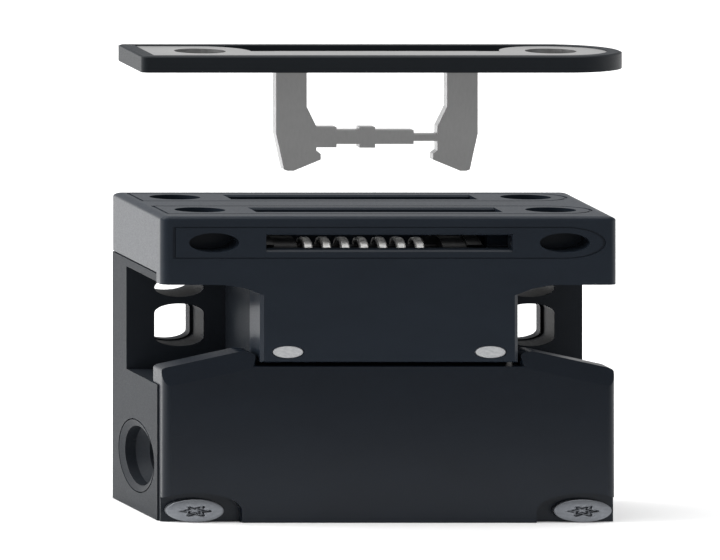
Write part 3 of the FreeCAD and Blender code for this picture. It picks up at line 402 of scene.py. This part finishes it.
def cover_screw(x, name):
    """A zinc-plated screw with a low domed head, a six-lobe recess and a plain shank."""
    head = rod(SCREW_HEAD_R, BODY_FRONT_Y + DOME_H, BODY_FRONT_Y + SCREW_HEAD_H, x, SCREW_Z,
               SCREW_HEAD_SIDES)
    select_faces(head, lambda face: face.normal.y < TOWARDS_FRONT)

    def dome():
        for i in range(1, DOME_RINGS + 1):
            now, before = (math.radians(k * DOME_ARC / DOME_RINGS) for k in (i, i - 1))
            rise = DOME_H * (math.sin(now) - math.sin(before)) / math.sin(math.radians(DOME_ARC))
            taper(-rise, math.cos(now) / math.cos(before))

    in_edit_mode(dome)
    shank = rod(SHANK_R, BODY_FRONT_Y + SCREW_HEAD_H / 2, SHANK_END_Y, x, SCREW_Z, SHANK_SIDES)
    combine(head, shank, "UNION")
    combine(head, recess_cutter(x, SCREW_Z), "DIFFERENCE")
    apply_modifier(head, "BEVEL", width=SCREW_EDGE, segments=2, limit_method="ANGLE",
                   angle_limit=SCREW_EDGE_ANGLE)
    in_edit_mode(lambda: bpy.ops.mesh.select_all(action="SELECT"),
                 lambda: bpy.ops.mesh.dissolve_degenerate(threshold=SCREW_SLIVER))
    settle(head, name, ZINC)
    bpy.ops.object.shade_smooth_by_angle(angle=SCREW_SMOOTH)
    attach(head, "switch_body")
    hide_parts("cover_screws")


# ---- what is wound about the X axis ----
def close_ends():
    """Closes the two open ends of what was wound and turns its faces outwards."""
    bpy.ops.mesh.select_all(action="DESELECT")
    bpy.ops.mesh.select_mode(type="EDGE")
    bpy.ops.mesh.select_non_manifold()
    bpy.ops.mesh.fill_holes(sides=0)
    bpy.ops.mesh.select_all(action="SELECT")
    bpy.ops.mesh.normals_make_consistent(inside=False)


def coil_along_x(radius, turns, length, start_angle, section):
    """Winds a closed section, given as (out, along) pairs, about the X axis."""
    deselect_all()
    bpy.ops.mesh.primitive_circle_add(vertices=len(section), radius=1, fill_type="NOTHING")
    coil = bpy.context.object
    for point, (out, along) in zip(coil.data.vertices, section):
        point.co = (along, (radius + out) * math.sin(start_angle),
                    (radius + out) * math.cos(start_angle))
    steps = round(turns * STEPS_PER_TURN)
    apply_modifier(coil, "SCREW", axis="X", angle=-2 * math.pi * turns, screw_offset=length,
                   steps=steps, render_steps=steps, use_merge_vertices=False,
                   use_smooth_shade=True)
    in_edit_mode(close_ends)
    return coil


def rotor_coil():
    """The bright spring wound round the rotor shaft, seen through the front keyway."""
    low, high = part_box("rotor_spring")
    out, along = WIRE_OUT / 2, WIRE_ALONG / 2
    corner = WIRE_CORNER
    section = [(out, corner - along), (out, along - corner), (out - corner, along),
               (corner - out, along), (-out, along - corner), (-out, corner - along),
               (corner - out, -along), (out - corner, -along)]
    section = [(o, low.x + along + a) for o, a in section]
    coil = coil_along_x(SPRING_R - out, SPRING_TURNS, high.x - low.x - WIRE_ALONG, math.pi,
                        section)
    coil.location = (0, ROTOR_Y, ROTOR_Z)
    settle(coil, "rotor_coil", SPRING)
    bpy.ops.object.shade_smooth_by_angle(angle=WIRE_SMOOTH)
    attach(coil, "rotor")
    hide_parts("rotor_spring")


def entry_thread():
    """The thread moulded inside the open cable entry on the left."""
    low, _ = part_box("housing")
    start = low.x + THREAD_INSET
    ridge = [(out, start + THREAD_PITCH * share) for out, share in THREAD_RIDGE]
    thread = coil_along_x(THREAD_R, THREAD_TURNS, THREAD_TURNS * THREAD_PITCH, 0, ridge)
    thread.location = (0, 0, ENTRY_Z)
    settle(thread, "entry_thread", BODY)
    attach(thread, "switch_body")


cover_screw(-SCREW_X, "cover_screw_left")
cover_screw(SCREW_X, "cover_screw_right")
rotor_coil()
entry_thread()


# ---- the studio ----
def white_card(tree):
    """Matt white board: no gloss, and it keeps the soft shadow of the switch."""
    return node(tree, "ShaderNodeBsdfPrincipled", in_Roughness=CARD_ROUGHNESS,
                in_Base_Color=srgb("#FFFFFF"))


def floor():
    deselect_all()
    bpy.ops.mesh.primitive_plane_add(size=FLOOR_SIZE, location=FLOOR_PLACE)
    plane = bpy.context.object
    plane.name = "studio_floor"
    bpy.ops.object.transform_apply(location=True)
    plane.data.materials.append(new_material("white_card", white_card))


def area_lamp(name, place, size, power):
    bpy.ops.object.light_add(type="AREA", location=place)
    lamp = bpy.context.object
    lamp.name = name
    lamp.data.shape = "RECTANGLE"
    lamp.data.size, lamp.data.size_y = size
    lamp.data.energy = power
    lamp.visible_camera = False
    away = Vector(place) - Vector(LAMP_AIM)
    lamp.rotation_mode = "QUATERNION"
    lamp.rotation_quaternion = away.to_track_quat("Z", "Y")


def world():
    """White where it is seen; as a source of light, brighter behind the switch than in front."""
    room = bpy.data.worlds.new("studio")
    bpy.context.scene.world = room
    room.use_nodes = True
    tree = room.node_tree
    tree.nodes.clear()
    path = node(tree, "ShaderNodeLightPath")
    seen = node(tree, "ShaderNodeMath", {0: path.outputs["Is Camera Ray"],
                                         1: path.outputs["Is Transmission Ray"]},
                operation="MAXIMUM")
    way = node(tree, "ShaderNodeTexCoord")
    parts = node(tree, "ShaderNodeSeparateXYZ", {"Vector": way.outputs["Generated"]})
    light = node(tree, "ShaderNodeMapRange", {"Value": parts.outputs["Y"]},
                 in_From_Min=-WORLD_TURN, in_From_Max=WORLD_TURN,
                 in_To_Min=WORLD_FRONT, in_To_Max=WORLD_BACK)
    strength = node(tree, "ShaderNodeMapRange",
                    {"Value": seen.outputs["Value"], "To Min": light.outputs["Result"]},
                    in_To_Max=1.0)
    back = node(tree, "ShaderNodeBackground", {"Strength": strength.outputs["Result"]},
                in_Color=(1, 1, 1, 1))
    node(tree, "ShaderNodeOutputWorld", {"Surface": back.outputs["Background"]})


def camera():
    """A level drawing view: heights true, widths stretched, depth shown by two slants."""
    across = Vector((STRETCH, SIDE_SLANT, 0))
    upward = Vector((0, TOP_SLANT, 1))
    look = across.cross(upward).normalized()
    look = look if look.y > 0 else -look
    up_axis = upward - across * (upward.dot(across) / across.dot(across))
    side_axis = across - upward * (across.dot(upward) / upward.dot(upward))
    tilt = math.sqrt((side_axis.length / up_axis.length) ** 2 - 1)
    scale = up_axis.length
    side_axis = (side_axis.normalized() + look * tilt) / math.sqrt(1 + tilt * tilt)
    up_axis = up_axis.normalized()
    start = AIM - look * CAMERA_AWAY
    bpy.ops.object.camera_add()
    cam = bpy.context.object
    cam.data.type = "ORTHO"
    cam.data.ortho_scale = VIEW_W / scale
    cam.data.clip_end = CAMERA_CLIP
    # the axes aren't square to each other, which a camera's own turn can't hold, so its
    # parent's inverse holds them
    stand = bpy.data.objects.new("camera_stand", None)
    bpy.context.collection.objects.link(stand)
    cam.parent = stand
    cam.matrix_parent_inverse = Matrix((
        (side_axis.x, up_axis.x, -look.x, start.x),
        (side_axis.y, up_axis.y, -look.y, start.y),
        (side_axis.z, up_axis.z, -look.z, start.z),
        (0, 0, 0, 1),
    ))
    bpy.context.scene.camera = cam


floor()
world()
for name, place, size, power in LAMPS:
    area_lamp(name, place, size, power)
camera()
bpy.context.scene.view_settings.view_transform = "Standard"
